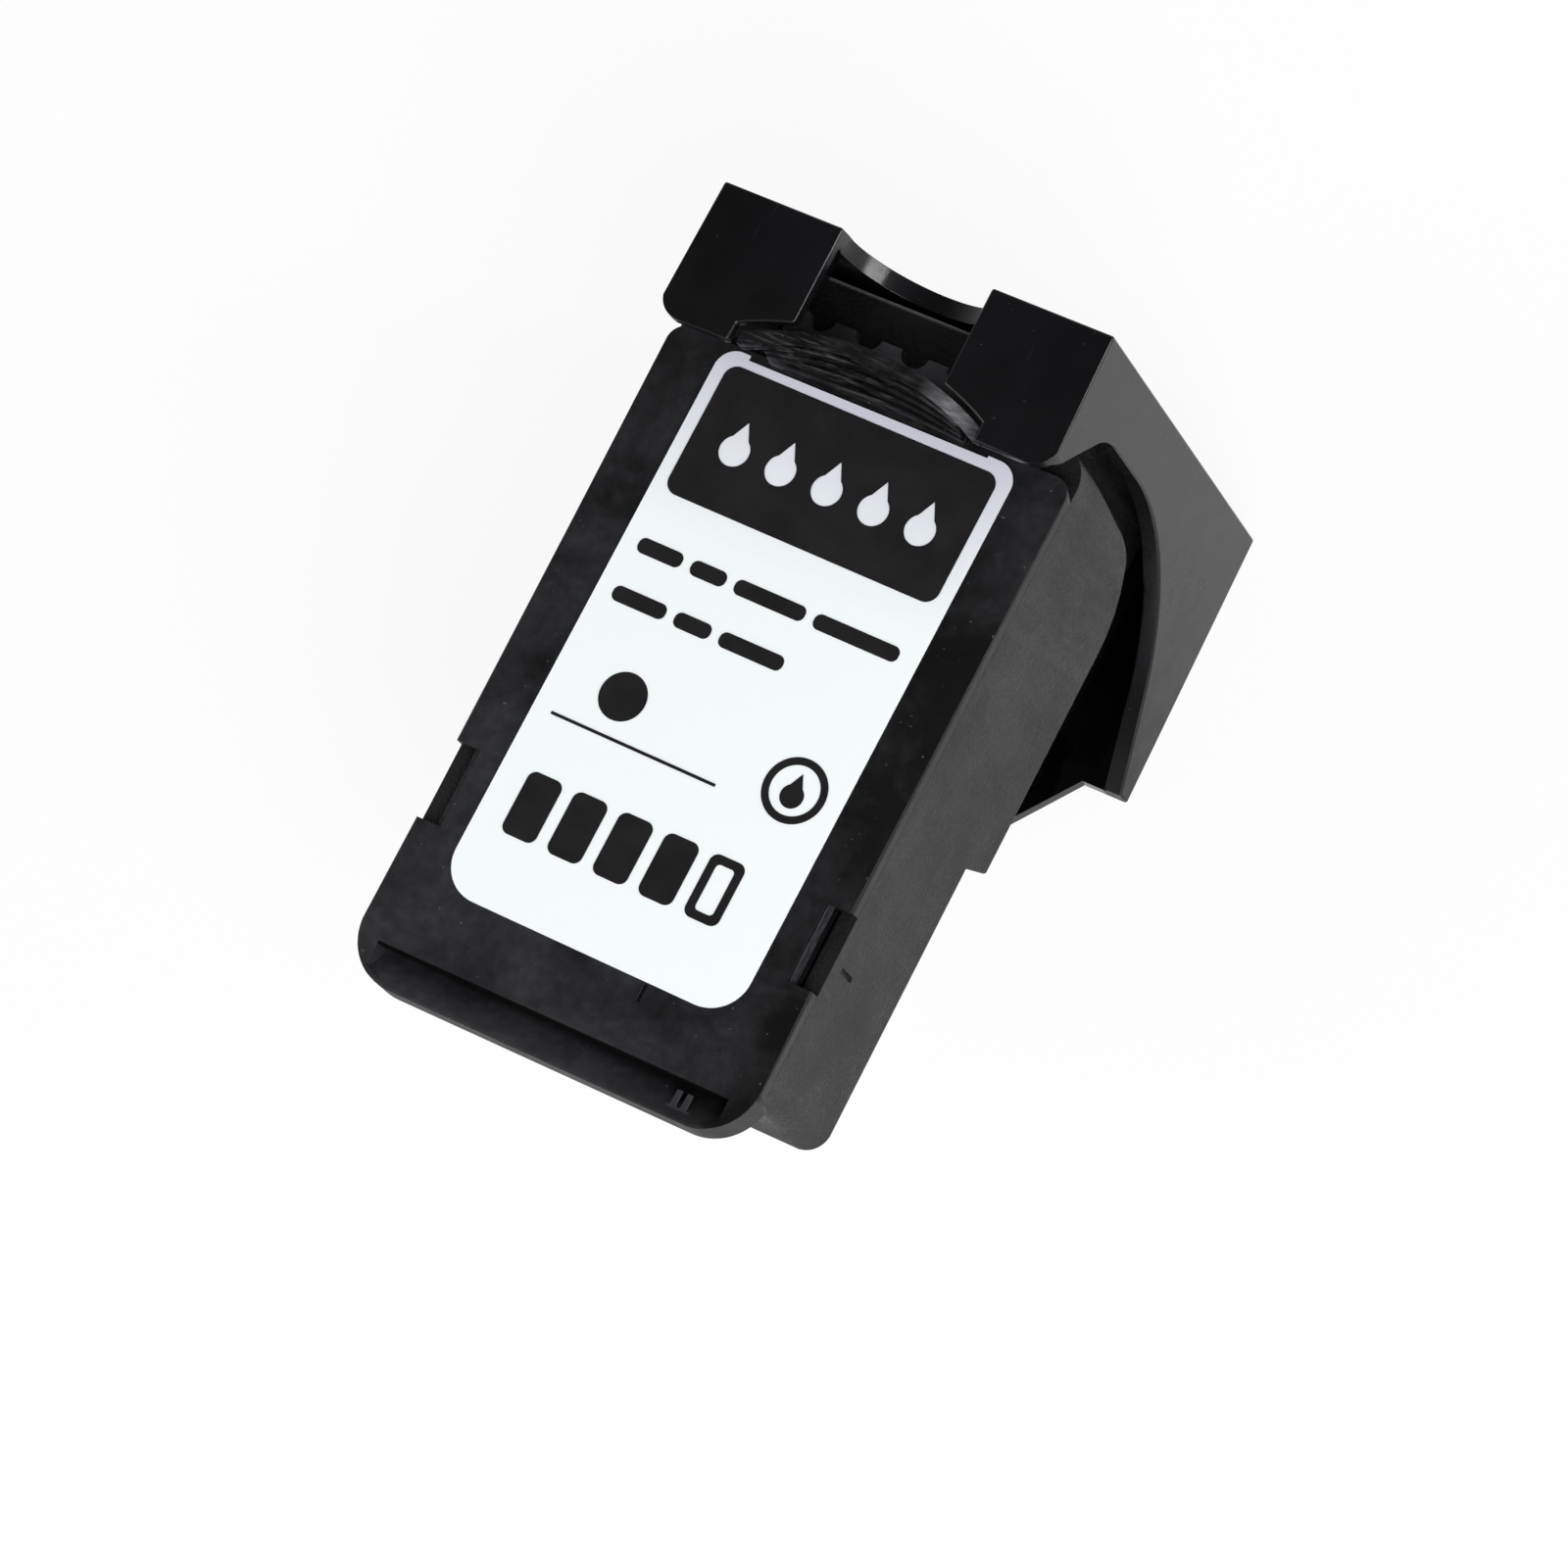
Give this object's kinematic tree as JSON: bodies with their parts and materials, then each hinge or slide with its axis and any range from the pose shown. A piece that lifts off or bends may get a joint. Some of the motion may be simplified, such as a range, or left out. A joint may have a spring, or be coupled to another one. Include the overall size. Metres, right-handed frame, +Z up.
{
  "type": "inkjet ink cartridge",
  "caption": "Ink cartridge with a built-in print head under its tank, lid up, standing in the slide-off transport clip that guards its contacts.",
  "frame": {"origin": "under the middle of the whole part, on the surface that the transport clip stands on", "axes": "+Z up, out of the label's face; +Y from the lid's front lip back to the clip's end wall, the way the clip slides off; +X across, to the right of the label as it is read"},
  "size_m": [0.035, 0.0658, 0.0444],
  "materials": {
    "tank": "fine spark-eroded grain, dark grey",
    "lid": "satin, slightly mottled, near black",
    "label": "smooth coated film label, bluish white",
    "label_print": "printed ink under the label's coating, near black",
    "ink_foam": "open-cell foam soaked with black ink",
    "filter_screen": "fine woven stainless mesh",
    "nozzle_chip": "polished silicon",
    "flex_circuit": "amber polyimide film, glossy",
    "contact_pads": "gold plate, smooth",
    "sealing_beads": "cured black sealant, glossy",
    "nozzle_tape": "thin blue film, glossy",
    "transport_clip": "smooth moulded plastic with a soft sheen, near black",
    "clip_pad": "soft grey pad, matt"
  },
  "bodies": {
    "cartridge": {"tank": "tank", "lid": "lid", "label": "label", "label_print": "label_print", "ink_foam": "ink_foam", "filter_screen": "filter_screen", "nozzle_chip": "nozzle_chip", "flex_circuit": "flex_circuit", "contact_pads": "contact_pads", "sealing_beads": "sealing_beads", "nozzle_tape": "nozzle_tape"},
    "clip": {"transport_clip": "transport_clip", "clip_pad": "clip_pad"}
  },
  "joints": [
    {"name": "clip_pull_off", "type": "slide", "parent": "cartridge", "child": "clip", "axis": [0, 1, 0], "range_m": [0, 0.036]}
  ]
}
